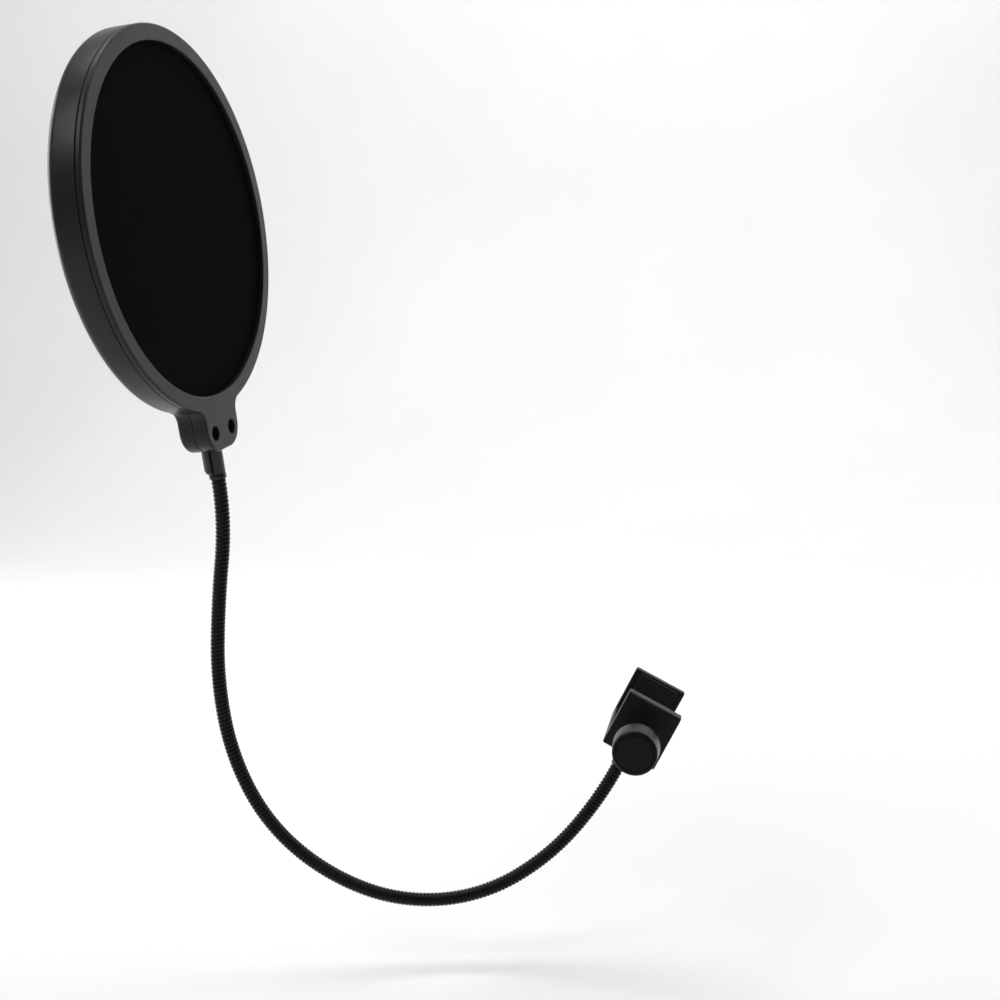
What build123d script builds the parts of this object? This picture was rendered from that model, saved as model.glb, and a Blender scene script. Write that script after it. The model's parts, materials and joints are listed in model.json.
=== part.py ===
from build123d import *
import math
import os

# Pop filter: a round twin-mesh screen on a gooseneck with a screw clamp. Millimetres, +Z up.
# Origin: centre of the fixed jaw's rubber face, on the clamp screw's axis, which runs along Y
# with the knob towards -Y. The clamp leans sideways, as it does on a sloping boom arm.

# ---------------------------------------------------------------- driving dimensions
# clamp
clamp_lean = 27.0         # degrees from upright, towards +X
clamp_width = 26.0
jaw_rise = 16.0           # jaw tips above the screw axis
axis_rise = 11.0          # screw axis above the spine's outer face
spine_thick = 5.0
jaw_opening = 38.0        # rubber face to the front jaw's inner face
front_jaw_thick = 7.0
rear_jaw_thick = 5.5
inner_round = 1.5
heel_round = 3.0          # spine to fixed jaw, outside
tip_round = 1.2
clamp_edge = 0.5
pad_size = (20.0, 20.0)   # rubber on the fixed jaw: width, height
pad_drop = 5.0            # how far that rubber reaches below the screw axis
pad_thick = 2.5
pad_proud = 1.0
pad_corner = 1.5

# clamp screw
grip_gap = 16.0           # between the rubbers as the clamp stands
thread_r = 2.95
journal_r = 2.25
journal_length = 3.5
groove_r = 1.8
groove_width = 0.7
clip_r = 3.6
clip_mouth = 2.6
knob_standoff = 16.0      # knob back to front jaw as the clamp stands
knob_r = 10.5
knob_front_r = 9.6
knob_depth = 12.0
knob_round = 0.8
cap_r = 8.2
cap_thick = 1.2
cap_seat = 1.0            # knob material behind the cap, over the screw's end
cap_chamfer = 0.3
press_pad_r = 5.0
press_pad_thick = 1.5
cup_r = 5.4
cup_length = 5.0
insert_r = 4.5
insert_flange_r = 5.6
insert_flange_thick = 0.8

# gooseneck
neck_r = 3.2
neck_bore_r = 2.1
core_bore_r = 1.4
link_length = 37.5
link_bends = (13, 20, 29, 27, 20, 21, 16, 11, 4, -14)   # degrees each link turns, from the clamp up
neck_turn = 18.0          # the curve's plane about the clamp's middle line
ball_r = 2.6
ball_bore_r = 1.3
stem_r = 1.9
ball_shoulder = 1.5       # joint centre to the shoulder behind the ball
socket_setback = 0.3      # joint centre to the socket's rim
core_setback = 4.2        # joint centre to the inner spring's end
neck_insert = 10.0        # straight neck end held in a ferrule

# ferrules
ferrule_r = 3.7
ferrule_length = 14.0     # lower ferrule outside the clamp
ferrule_round = 0.3
hex_r = 5.2               # spanner flats, over the corners
hex_length = 3.0
spigot_r = 3.0
spigot_length = 4.2
set_screw_r = 1.5
set_screw_length = 7.0
socket_r = 0.85
socket_depth = 1.5
upper_ferrule_show = 13.0     # upper ferrule below the lug
upper_ferrule_held = 14.5
collar_r = 4.7
collar_length = 2.0
collar_down = 1.5             # collar from the upper ferrule's held end

# screen
hoop_r = 77.5
rim_width = 6.5           # outer edge to opening
opening_r = hoop_r - rim_width
hoop_depth = 15.0
hoop_wall = 2.0
front_flange = 2.2
rear_flange = 2.6
seam = 0.3
rear_round = 4.2
rim_round = 0.9
nest_depth = 3.8          # front hoop's collar inside the rear hoop
nest_wall = 1.4
mesh_thick = 0.4
mesh_land = 2.8           # mesh held beyond the opening
mesh_r = opening_r + mesh_land
spacer_wall = 1.3
ring_turn = -18.0         # the screen's face about the neck's end

# lug
lug_half_width = 15.0
lug_rise = 17.0           # below the hoop's outer edge
lug_corner_r = 10.0
lug_blend_r = 6.0
lug_rear_gap = 1.5        # lug's back face in front of the hoop's
lug_screw_x = 7.75
lug_screw_drop = 9.0      # below the hoop's outer edge
screw_r = 1.5
screw_head_r = 2.8
screw_head_thick = 2.0
screw_bite = 6.0
head_recess_r = 3.2
head_seat = 2.0           # material under a screw head, above the parting face
slot_length = 3.2
slot_width = 0.8
slot_depth = 1.0
sleeve_wall = 1.5
sleeve_length = 10.5
ferrule_depth = 8.5       # neck axis in front of the hoop's back face

# clearances
run = 0.05                # turning and nesting fits, on the radius
free = 0.1                # faces that stay apart

# ---------------------------------------------------------------- derived frames
lean = math.radians(clamp_lean)
centre = Vector(0, 0, 0)
knobward = Vector(0, -1, 0)
clamp_up = Vector(math.sin(lean), 0, math.cos(lean))
clamp_side = Vector(math.cos(lean), 0, -math.sin(lean))
side_plane = Plane(origin=centre, x_dir=knobward, z_dir=clamp_side * -1)   # x to the knob, y up

front_in = jaw_opening
front_out = front_in + front_jaw_thick
rear_in = -pad_proud
rear_out = rear_in - rear_jaw_thick
spine_mid = (front_out + rear_out) / 2
floor = spine_thick - axis_rise

root_plane = Plane(
    origin=knobward * spine_mid - clamp_up * axis_rise, x_dir=clamp_side, z_dir=clamp_up
)
curve_normal = Vector(0, 1, 0).rotate(Axis(centre, clamp_up), neck_turn)
neck_plane = Plane(
    origin=root_plane.origin - clamp_up * ferrule_length,
    x_dir=clamp_up * -1,
    z_dir=curve_normal,
)


def across(distance):
    """A plane square to the screw's axis, this far towards the knob: x across the clamp, y up."""
    return Plane(origin=knobward * distance, x_dir=clamp_side, z_dir=knobward)


def save(name, part):
    """Label a finished piece and write it."""
    part.label = name
    export_step(part, f"parts/{name}.step")


os.makedirs("parts", exist_ok=True)

# ---------------------------------------------------------------- clamp
with BuildPart() as clamp_frame:
    with BuildSketch(side_plane) as c_profile:
        with BuildLine():
            Polyline(
                (rear_out, -axis_rise),
                (front_out, -axis_rise),
                (front_out, jaw_rise),
                (front_in, jaw_rise),
                (front_in, floor),
                (rear_in, floor),
                (rear_in, jaw_rise),
                (rear_out, jaw_rise),
                close=True,
            )
        make_face()
        for x, y, radius in (
            (front_in, floor, inner_round),
            (rear_in, floor, inner_round),
            (rear_out, -axis_rise, heel_round),
            (front_out, -axis_rise, tip_round),
            (rear_out, jaw_rise, tip_round),
            (front_out, jaw_rise, tip_round),
        ):
            fillet(c_profile.vertices().sort_by_distance((x, y, 0))[0], radius)
    extrude(amount=clamp_width / 2, both=True)
    sides = clamp_frame.faces().sort_by(Axis(centre, clamp_side))
    chamfer(sides[0].edges() + sides[-1].edges(), clamp_edge)
    with BuildSketch(across(0)):
        with Locations((0, pad_size[1] / 2 - pad_drop)):
            RectangleRounded(*pad_size, pad_corner)
    extrude(amount=-pad_thick, mode=Mode.SUBTRACT)
    with BuildSketch(across(front_in)):
        Circle(insert_r)
    extrude(amount=front_jaw_thick, mode=Mode.SUBTRACT)
    with BuildSketch(across(front_in)):
        Circle(insert_flange_r)
    extrude(amount=-insert_flange_thick, mode=Mode.SUBTRACT)
    with BuildSketch(root_plane):
        Circle(spigot_r)
    extrude(amount=spigot_length, mode=Mode.SUBTRACT)
    set_screw_plane = Plane(
        origin=root_plane.origin + clamp_up * spine_thick / 2 + clamp_side * spigot_r,
        x_dir=knobward,
        z_dir=clamp_side,
    )
    with BuildSketch(set_screw_plane.offset(-set_screw_r)):
        Circle(set_screw_r)
    extrude(amount=clamp_width / 2, mode=Mode.SUBTRACT)
save("clamp_frame", clamp_frame.part)

with BuildPart() as jaw_pad:
    with BuildSketch(across(0)):
        with Locations((0, pad_size[1] / 2 - pad_drop)):
            RectangleRounded(*pad_size, pad_corner)
    extrude(amount=-pad_thick)
save("jaw_pad", jaw_pad.part)

with BuildPart() as thread_insert:
    with BuildSketch(across(front_in)):
        Circle(insert_r)
    extrude(amount=front_jaw_thick)
    with BuildSketch(across(front_in)):
        Circle(insert_flange_r)
    extrude(amount=-insert_flange_thick)
    with BuildSketch(across(front_in - insert_flange_thick)):
        Circle(thread_r + run)
    extrude(amount=front_jaw_thick + insert_flange_thick, mode=Mode.SUBTRACT)
save("thread_insert", thread_insert.part)

with BuildPart() as neck_set_screw:
    with BuildSketch(set_screw_plane):
        Circle(set_screw_r)
    extrude(amount=set_screw_length)
    with BuildSketch(set_screw_plane.offset(set_screw_length)):
        RegularPolygon(socket_r, 6)
    extrude(amount=-socket_depth, mode=Mode.SUBTRACT)
save("neck_set_screw", neck_set_screw.part)

# ---------------------------------------------------------------- screw, knob and pressure cup
press_back = grip_gap + press_pad_thick
cup_back = press_back + cup_length
journal_start = cup_back - journal_length
groove_start = cup_back - (journal_length + groove_width) / 2
knob_back = front_out + knob_standoff
knob_front = knob_back + knob_depth
screw_end = knob_front - cap_thick - cap_seat
knob_taper = math.degrees(math.atan2(knob_r - knob_front_r, knob_depth))

with BuildPart() as pressure_pad:
    with BuildSketch(across(grip_gap)):
        Circle(press_pad_r)
    extrude(amount=press_pad_thick)
    chamfer(pressure_pad.edges().group_by(Axis.Y)[-1], cap_chamfer)
save("pressure_pad", pressure_pad.part)

with BuildPart() as pressure_cup:
    with BuildSketch(across(press_back)):
        Circle(cup_r)
    extrude(amount=cup_length)
    chamfer(pressure_cup.edges().group_by(Axis.Y)[0], tip_round)
    with BuildSketch(across(journal_start - free)):
        Circle(journal_r + run)
    extrude(amount=journal_length + free, mode=Mode.SUBTRACT)
    with BuildSketch(across(groove_start + run)):
        Circle(clip_r)
    extrude(amount=groove_width - 2 * run, mode=Mode.SUBTRACT)
save("pressure_cup", pressure_cup.part)

with BuildPart() as retaining_clip:
    with BuildSketch(across(groove_start + run)):
        Circle(clip_r)
        Circle(groove_r + run, mode=Mode.SUBTRACT)
        with Locations((0, -clip_r)):
            Rectangle(clip_mouth, 2 * clip_r, mode=Mode.SUBTRACT)
    extrude(amount=groove_width - 2 * run)
save("retaining_clip", retaining_clip.part)

with BuildPart() as clamp_screw:
    with BuildSketch(across(journal_start)):
        Circle(journal_r)
    extrude(amount=journal_length + free)
    with BuildSketch(across(cup_back + free)):
        Circle(thread_r)
    extrude(amount=screw_end - cup_back - free)
    with BuildSketch(across(groove_start)):
        Circle(journal_r)
        Circle(groove_r, mode=Mode.SUBTRACT)
    extrude(amount=groove_width, mode=Mode.SUBTRACT)
save("clamp_screw", clamp_screw.part)

with BuildPart() as knob:
    with BuildSketch(across(knob_back)):
        Circle(knob_r)
    extrude(amount=knob_depth, taper=knob_taper)
    fillet(knob.edges().filter_by(GeomType.CIRCLE), knob_round)
    with BuildSketch(across(knob_front)):
        Circle(cap_r)
    extrude(amount=-cap_thick, mode=Mode.SUBTRACT)
    with BuildSketch(across(knob_back)):
        Circle(thread_r)
    extrude(amount=screw_end - knob_back, mode=Mode.SUBTRACT)
save("knob", knob.part)

with BuildPart() as knob_cap:
    with BuildSketch(across(knob_front - cap_thick)):
        Circle(cap_r)
    extrude(amount=cap_thick)
    chamfer(knob_cap.edges().group_by(Axis.Y)[0], cap_chamfer)
save("knob_cap", knob_cap.part)

# ---------------------------------------------------------------- lower ferrule
with BuildPart() as lower_ferrule:
    with BuildSketch(root_plane):
        Circle(ferrule_r)
    extrude(amount=-ferrule_length)
    fillet(lower_ferrule.edges().sort_by(Axis(centre, clamp_up))[0], ferrule_round)
    with BuildSketch(root_plane):
        RegularPolygon(hex_r, 6)
    extrude(amount=-hex_length)
    with BuildSketch(root_plane):
        Circle(spigot_r)
    extrude(amount=spigot_length)
    with BuildSketch(root_plane.offset(-ferrule_length)):
        Circle(neck_r)
    extrude(amount=neck_insert, mode=Mode.SUBTRACT)
save("lower_ferrule", lower_ferrule.part)


# ---------------------------------------------------------------- gooseneck
def along(point, heading, bend, distance):
    """Where a run that turns bend degrees per link has got to, and its heading there."""
    turned = bend * distance / link_length
    radius = link_length / math.radians(bend)
    start, end = math.radians(heading), math.radians(heading + turned)
    x = point[0] + radius * (math.sin(end) - math.sin(start))
    y = point[1] + radius * (math.cos(start) - math.cos(end))
    return (x, y), heading + turned


def heading_vector(heading):
    """The unit vector of a heading in the neck's plane."""
    angle = math.radians(heading)
    return neck_plane.x_dir * math.cos(angle) + neck_plane.y_dir * math.sin(angle)


def square_to_neck(point, heading):
    """A plane across the neck at a point of its curve, facing along it."""
    place = neck_plane.from_local_coords(Vector(point[0], point[1], 0))
    return Plane(origin=place, x_dir=curve_normal, z_dir=heading_vector(heading))


def neck_tube(index, outer_r, inner_r, start_gap, end_gap):
    """One link's tube: its arc less a gap at each end, with the straight ends in the ferrules."""
    point, heading, bend = links[index]
    first, last = index == 0, index == len(links) - 1
    start, start_heading = along(point, heading, bend, 0 if first else start_gap)
    length = link_length - (0 if first else start_gap) - (0 if last else end_gap)
    end, end_heading = along(point, heading, bend, link_length if last else link_length - end_gap)
    with BuildPart() as tube:
        with BuildLine(neck_plane) as path:
            JernArc(
                start=start,
                tangent=(math.cos(math.radians(start_heading)), math.sin(math.radians(start_heading))),
                radius=link_length / math.radians(abs(bend)),
                arc_size=bend * length / link_length,
            )
        with BuildSketch(square_to_neck(start, start_heading)):
            Circle(outer_r)
            Circle(inner_r, mode=Mode.SUBTRACT)
        sweep(path=path.line)
        if first:
            with BuildSketch(square_to_neck(start, start_heading)):
                Circle(outer_r)
                Circle(inner_r, mode=Mode.SUBTRACT)
            extrude(amount=-neck_insert)
        if last:
            with BuildSketch(square_to_neck(end, end_heading)):
                Circle(outer_r)
                Circle(inner_r, mode=Mode.SUBTRACT)
            extrude(amount=neck_insert)
    return tube.part


links = []
here, facing = (0.0, 0.0), 0.0
for bend in link_bends:
    links.append((here, facing, bend))
    here, facing = along(here, facing, bend, link_length)
neck_end = square_to_neck(here, facing)

for index, (point, heading, bend) in enumerate(links):
    number = f"{index + 1:02d}"
    next_point, next_heading = along(point, heading, bend, link_length)
    ball_plane = square_to_neck(point, heading)
    socket_plane = square_to_neck(next_point, next_heading)
    with BuildPart() as neck_wrap:
        add(neck_tube(index, neck_r, neck_bore_r, ball_shoulder, socket_setback))
        if index > 0:
            with BuildSketch(ball_plane):
                Circle(stem_r)
            extrude(amount=ball_shoulder + ball_r)
            with Locations(ball_plane.location):
                Sphere(ball_r)
            with BuildSketch(ball_plane.offset(-ball_r)):
                Circle(ball_bore_r)
            extrude(amount=2 * ball_r + ball_shoulder, mode=Mode.SUBTRACT)
        if index < len(links) - 1:
            with Locations(socket_plane.location):
                Sphere(ball_r + run, mode=Mode.SUBTRACT)
    save(f"neck_wrap_{number}", neck_wrap.part)
    save(
        f"neck_core_{number}",
        neck_tube(index, neck_bore_r - run, core_bore_r, core_setback, core_setback),
    )

# ---------------------------------------------------------------- screen frame of reference
head_up = neck_end.z_dir
head_front = curve_normal.cross(head_up).rotate(Axis(centre, head_up), ring_turn)
lug_foot = neck_end.origin + head_up * upper_ferrule_show
head_plane = Plane(
    origin=lug_foot + head_up * (lug_rise + hoop_r) - head_front * ferrule_depth,
    x_dir=head_up.cross(head_front),
    z_dir=head_front,
)
head_axis = Axis(head_plane.origin, head_plane.z_dir)
lug_plane = Plane(origin=lug_foot, x_dir=head_plane.x_dir, z_dir=head_up)
front_back = hoop_depth - front_flange      # back of the front hoop's flange
band_front = front_back - seam              # front of the rear hoop's band
nest_r = hoop_r - hoop_wall - run
lug_screw_places = [(x, -hoop_r - lug_screw_drop) for x in (-lug_screw_x, lug_screw_x)]


def screen_outline(hole_r):
    """The hoop and its lug seen from the front, less a round hole, in the current sketch."""
    Circle(hoop_r)
    with Locations((0, -hoop_r - lug_rise)):
        Rectangle(2 * lug_half_width, lug_rise + hoop_r / 2, align=(Align.CENTER, Align.MIN))
    sketch = BuildSketch._get_context()
    shoulder = -math.sqrt(hoop_r**2 - lug_half_width**2)
    for side in (-1, 1):
        corners = (
            (side * lug_half_width, shoulder, lug_blend_r),
            (side * lug_half_width, -hoop_r - lug_rise, lug_corner_r),
        )
        for x, y, radius in corners:
            fillet(sketch.vertices().sort_by_distance((x, y, 0))[0], radius)
    Circle(hole_r, mode=Mode.SUBTRACT)


# ---------------------------------------------------------------- upper ferrule
with BuildPart() as upper_ferrule:
    with BuildSketch(neck_end):
        Circle(ferrule_r)
    extrude(amount=upper_ferrule_show + upper_ferrule_held)
    fillet(upper_ferrule.edges().sort_by(Axis(centre, head_up))[0], ferrule_round)
    with BuildSketch(lug_plane.offset(upper_ferrule_held - collar_down)):
        Circle(collar_r)
    extrude(amount=-collar_length)
    ferrule_seat = upper_ferrule.part
    with BuildSketch(neck_end):
        Circle(neck_r)
    extrude(amount=neck_insert, mode=Mode.SUBTRACT)
save("upper_ferrule", upper_ferrule.part)

# ---------------------------------------------------------------- hoops
with BuildPart() as front_hoop:
    with BuildSketch(head_plane.offset(ferrule_depth)):
        screen_outline(hoop_r + free)
    extrude(amount=front_back - ferrule_depth)
    with BuildSketch(head_plane.offset(front_back)):
        screen_outline(opening_r)
    extrude(amount=front_flange)
    rim = front_hoop.faces().sort_by(head_axis)[-1].outer_wire().edges()
    fillet(rim, rim_round)
    with BuildSketch(head_plane.offset(front_back)):
        Circle(nest_r)
        Circle(nest_r - nest_wall, mode=Mode.SUBTRACT)
    extrude(amount=-nest_depth)
    with BuildSketch(head_plane.offset(ferrule_depth + head_seat)):
        with Locations(*lug_screw_places):
            Circle(head_recess_r)
    extrude(amount=hoop_depth - ferrule_depth - head_seat, mode=Mode.SUBTRACT)
    with BuildSketch(head_plane.offset(ferrule_depth)):
        with Locations(*lug_screw_places):
            Circle(screw_r + free)
    extrude(amount=head_seat, mode=Mode.SUBTRACT)
    add(ferrule_seat, mode=Mode.SUBTRACT)
save("front_hoop", front_hoop.part)

profile_plane = Plane(
    origin=head_plane.origin, x_dir=head_plane.x_dir, z_dir=head_plane.y_dir * -1
)   # x outwards, y to the front

with BuildPart() as rear_hoop:
    with BuildSketch(profile_plane) as band_profile:
        with BuildLine():
            Polyline(
                (hoop_r, 0),
                (hoop_r, band_front),
                (hoop_r - hoop_wall, band_front),
                (hoop_r - hoop_wall, rear_flange),
                (opening_r, rear_flange),
                (opening_r, 0),
                close=True,
            )
        make_face()
        fillet(band_profile.vertices().sort_by_distance((hoop_r, 0, 0))[0], rear_round)
    revolve(axis=head_axis)
    with BuildSketch(head_plane.offset(lug_rear_gap)):
        screen_outline(hoop_r - hoop_wall / 2)
        with Locations((0, rear_round - hoop_r)):
            Rectangle(2 * hoop_r, 2 * hoop_r, align=(Align.CENTER, Align.MIN), mode=Mode.SUBTRACT)
    extrude(amount=ferrule_depth - lug_rear_gap)
    with BuildSketch(head_plane.offset(ferrule_depth)):
        with Locations(*lug_screw_places):
            Circle(screw_r)
    extrude(amount=-screw_bite, mode=Mode.SUBTRACT)
    add(ferrule_seat, mode=Mode.SUBTRACT)
    sleeve_plane = Plane(origin=lug_foot, x_dir=head_plane.x_dir, z_dir=head_up * -1)
    with BuildSketch(sleeve_plane):
        Circle(ferrule_r + sleeve_wall)
        Circle(ferrule_r, mode=Mode.SUBTRACT)
        Rectangle(4 * ferrule_r, 4 * ferrule_r, align=(Align.CENTER, Align.MIN), mode=Mode.SUBTRACT)
    extrude(amount=sleeve_length)
save("rear_hoop", rear_hoop.part)

# ---------------------------------------------------------------- meshes and spacer
for name, back in (("front_mesh", front_back - mesh_thick), ("rear_mesh", rear_flange)):
    with BuildPart() as mesh:
        with BuildSketch(head_plane.offset(back)):
            Circle(mesh_r)
        extrude(amount=mesh_thick)
    save(name, mesh.part)

with BuildPart() as spacer_ring:
    with BuildSketch(head_plane.offset(rear_flange + mesh_thick)):
        Circle(mesh_r)
        Circle(mesh_r - spacer_wall, mode=Mode.SUBTRACT)
    extrude(amount=front_back - rear_flange - 2 * mesh_thick)
save("spacer_ring", spacer_ring.part)

# ---------------------------------------------------------------- lug screws
with BuildPart() as lug_screws:
    with BuildSketch(head_plane.offset(ferrule_depth + head_seat)):
        with Locations(*lug_screw_places):
            Circle(screw_head_r)
    extrude(amount=screw_head_thick)
    with BuildSketch(head_plane.offset(ferrule_depth + head_seat)):
        with Locations(*lug_screw_places):
            Circle(screw_r)
    extrude(amount=-head_seat - screw_bite)
    with BuildSketch(head_plane.offset(ferrule_depth + head_seat + screw_head_thick)):
        with Locations(*lug_screw_places):
            Rectangle(slot_length, slot_width)
            Rectangle(slot_width, slot_length)
    extrude(amount=-slot_depth, mode=Mode.SUBTRACT)
save("lug_screws", lug_screws.part)
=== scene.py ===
import json
import logging
import math
from collections.abc import Callable
from dataclasses import dataclass, field
from enum import Enum

import bmesh
import bpy
import numpy as np
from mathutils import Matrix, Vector
from mathutils.geometry import delaunay_2d_cdt


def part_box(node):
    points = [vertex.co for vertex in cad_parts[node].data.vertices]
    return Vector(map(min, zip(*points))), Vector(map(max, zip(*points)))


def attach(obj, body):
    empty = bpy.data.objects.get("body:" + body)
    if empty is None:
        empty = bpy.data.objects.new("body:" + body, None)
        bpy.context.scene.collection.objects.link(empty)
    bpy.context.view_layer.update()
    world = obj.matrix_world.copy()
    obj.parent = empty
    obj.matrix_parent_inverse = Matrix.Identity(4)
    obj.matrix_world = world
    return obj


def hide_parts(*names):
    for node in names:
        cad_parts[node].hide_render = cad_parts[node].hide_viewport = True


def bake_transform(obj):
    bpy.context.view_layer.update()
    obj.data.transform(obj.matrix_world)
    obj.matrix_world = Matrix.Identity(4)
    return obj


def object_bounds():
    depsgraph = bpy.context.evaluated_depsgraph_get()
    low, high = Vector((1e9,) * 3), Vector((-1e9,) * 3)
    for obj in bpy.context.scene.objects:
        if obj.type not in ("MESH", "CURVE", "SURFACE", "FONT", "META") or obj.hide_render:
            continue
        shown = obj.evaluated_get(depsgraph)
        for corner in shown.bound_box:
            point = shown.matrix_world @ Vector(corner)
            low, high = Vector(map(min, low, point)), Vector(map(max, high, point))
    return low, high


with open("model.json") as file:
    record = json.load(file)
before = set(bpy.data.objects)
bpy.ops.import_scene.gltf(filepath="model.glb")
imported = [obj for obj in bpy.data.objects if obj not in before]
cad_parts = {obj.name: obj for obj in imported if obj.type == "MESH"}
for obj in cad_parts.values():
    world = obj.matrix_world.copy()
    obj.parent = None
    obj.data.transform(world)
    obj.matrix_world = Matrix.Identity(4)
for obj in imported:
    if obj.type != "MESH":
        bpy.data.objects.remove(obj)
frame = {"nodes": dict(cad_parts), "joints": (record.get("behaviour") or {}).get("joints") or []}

LOG = logging.getLogger("pop_filter")
START_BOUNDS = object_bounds()
MM = 0.001


# ------------------------------------------------------------------ places
class Side(Enum):
    """Which way a helical ridge turns about its path."""

    RIGHT = -1.0
    LEFT = 1.0


@dataclass(frozen=True)
class Local:
    """A right-handed set of axes at a point of the row frame, for building in millimetres.

    Attributes:
        origin: The point, in metres.
        x: Unit vector of local x.
        y: Unit vector of local y.
    """

    origin: Vector
    x: Vector
    y: Vector

    @property
    def z(self) -> Vector:
        """Unit vector of local z."""
        return self.x.cross(self.y)

    def points(self, coords: np.ndarray) -> np.ndarray:
        """Moves local points into the row frame.

        Args:
            coords: An array of shape (n, 3), in millimetres.

        Returns:
            The same points in the row frame, in metres.
        """
        basis = np.array([self.x, self.y, self.z], float)
        return np.array(self.origin, float) + (np.asarray(coords, float) * MM) @ basis


@dataclass(frozen=True)
class Layout:
    """Every axis and point that the pieces are placed by, worked out from the record and the CAD nodes.

    Attributes:
        joints: Places of the neck's nine joints, in metres.
        tangents: The neck's heading at each of them.
        normal: Normal of the plane that the neck is curved in.
        up: The clamp's upward direction.
        root: Where the neck leaves the lower ferrule.
        tip: Where the neck enters the upper ferrule.
        head: Axes at the middle of the screen's back face, z to the front and y away from the neck.
        link: Length of one link, in metres.
    """

    joints: tuple[Vector, ...]
    tangents: tuple[Vector, ...]
    normal: Vector
    up: Vector
    root: Vector
    tip: Vector
    head: Local
    link: float

    @classmethod
    def measure(cls) -> "Layout":
        """Works the layout out.

        Returns:
            The layout.
        """
        joints = {j["name"]: j for j in frame["joints"]}
        places = [Vector(joints[f"neck_bend_{i}"]["pos_m"]) for i in range(1, 10)]
        normal = Vector(joints["neck_bend_1"]["axis"]).normalized()
        tangents: list[Vector] = [Vector()] * 9
        for i in range(1, 8, 2):
            across = Vector(joints[f"neck_bend_{i + 1}"]["axis"]).cross(normal).normalized()
            chord = places[i] - places[i - 1]
            tangents[i] = across if across.dot(chord) > 0 else -across
        for i in range(0, 9, 2):
            near = i + 1 if i < 8 else i - 1
            chord = (places[near] - places[i]).normalized()
            tangents[i] = (2 * tangents[near].dot(chord) * chord - tangents[near]).normalized()
        half = tangents[1].angle(tangents[2]) / 2
        link = (places[2] - places[1]).length * half / math.sin(half)
        forward = Vector((0, 1, 0))
        up = forward.cross(normal).normalized()
        up = up if up.z > 0 else -up
        facing = cls.disc_normal("rear_mesh")
        head_up = facing.cross(normal).normalized()
        head_up = head_up if head_up.z > 0 else -head_up
        root = places[0] - cls.chord(-up, tangents[0], link)
        tip = places[8] + cls.chord(tangents[8], head_up, link)
        low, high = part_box("rear_mesh")
        back = (low + high) / 2 - facing * (REAR_FLANGE + MESH_THICK / 2) * MM
        return cls(
            joints=tuple(places),
            tangents=tuple(tangents),
            normal=normal,
            up=up,
            root=root,
            tip=tip,
            head=Local(back, head_up.cross(facing), head_up),
            link=link,
        )

    @staticmethod
    def disc_normal(node: str) -> Vector:
        """The normal of a flat disc node, facing the front.

        Args:
            node: Name of the CAD node.

        Returns:
            A unit vector.
        """
        points = np.array([v.co for v in frame["nodes"][node].data.vertices], float)
        _, vectors = np.linalg.eigh(np.cov((points - points.mean(0)).T))
        normal = Vector(vectors[:, 0])
        return normal if normal.x > 0 else -normal

    @staticmethod
    def chord(start: Vector, end: Vector, length: float) -> Vector:
        """From one end of an arc to the other.

        Args:
            start: Heading at the start.
            end: Heading at the end.
            length: The arc's length.

        Returns:
            The vector between its ends.
        """
        half = start.angle(end) / 2
        return (start + end).normalized() * length * math.sin(half) / half

    def stations(self) -> list[tuple[Vector, Vector]]:
        """Point and heading at both ends of every link, from the clamp to the screen."""
        ends = [(self.root, -self.up), *zip(self.joints, self.tangents)]
        return [*ends, (self.tip, self.head.y)]

    def neck_path(self, start: float, end: float, step: float = 0.0018) -> list[Vector]:
        """Points along the neck, which runs on straight past its two ends.

        Args:
            start: First distance from the root, in links.
            end: Last distance from the root, in links.
            step: Distance between points, in metres.

        Returns:
            The points, in the row frame.
        """
        ends = self.stations()
        count = max(2, round((end - start) * self.link / step) + 1)
        points = []
        for s in np.linspace(start, end, count):
            if s <= 0:
                points.append(ends[0][0] + ends[0][1] * s * self.link)
                continue
            if s >= len(ends) - 1:
                points.append(ends[-1][0] + ends[-1][1] * (s - len(ends) + 1) * self.link)
                continue
            index = min(int(s), len(ends) - 2)
            place, heading = ends[index]
            bend = heading.angle(ends[index + 1][1])
            side = ends[index + 1][1] - heading * heading.dot(ends[index + 1][1])
            turned = bend * (s - index)
            radius = self.link / bend
            points.append(
                place
                + heading * radius * math.sin(turned)
                + side.normalized() * radius * (1 - math.cos(turned))
            )
        return points


# ------------------------------------------------------------------ sizes, in millimetres
FERRULE_LENGTH = 14.0
FERRULE_R = 3.7
COLLAR_R = 4.7
SPIGOT_R = 3.0
HEX_R = 5.2
HEX_LENGTH = 3.0
NECK_R = 3.2
NECK_INSERT = 10.0
HOOP_R = 77.5
OPENING_R = 71.0
HOOP_DEPTH = 15.0
HOOP_WALL = 2.0
FRONT_FLANGE = 2.2
REAR_FLANGE = 2.6
SEAM = 0.3
REAR_ROUND = 4.2
MESH_THICK = 0.4
MESH_R = 73.8
RIM_ROUND = 0.9
NEST_R = 75.45
NEST_WALL = 1.4
NEST_DEPTH = 3.8
LUG_HALF = 15.0
LUG_RISE = 17.0
LUG_CORNER = 10.0
LUG_BLEND = 6.0
LUG_BACK = 1.5
LUG_ROOT = 1.0
LUG_GAP = 0.05
SPLIT = 8.5
SCREW_X = 7.75
SCREW_DROP = 9.0
SCREW_SEAT = 2.0
SCREW_HEAD_R = 2.8
RECESS_R = 3.2
SLEEVE_R = 5.2
SLEEVE_LENGTH = 10.5
SLEEVE_BORE = 3.75
AXIS_RISE = 11.0
JAW_OPENING = 38.0
FRONT_OUT = 45.0
REAR_OUT = -6.5


# ------------------------------------------------------------------ shapes
Point = tuple[float, float]


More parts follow.
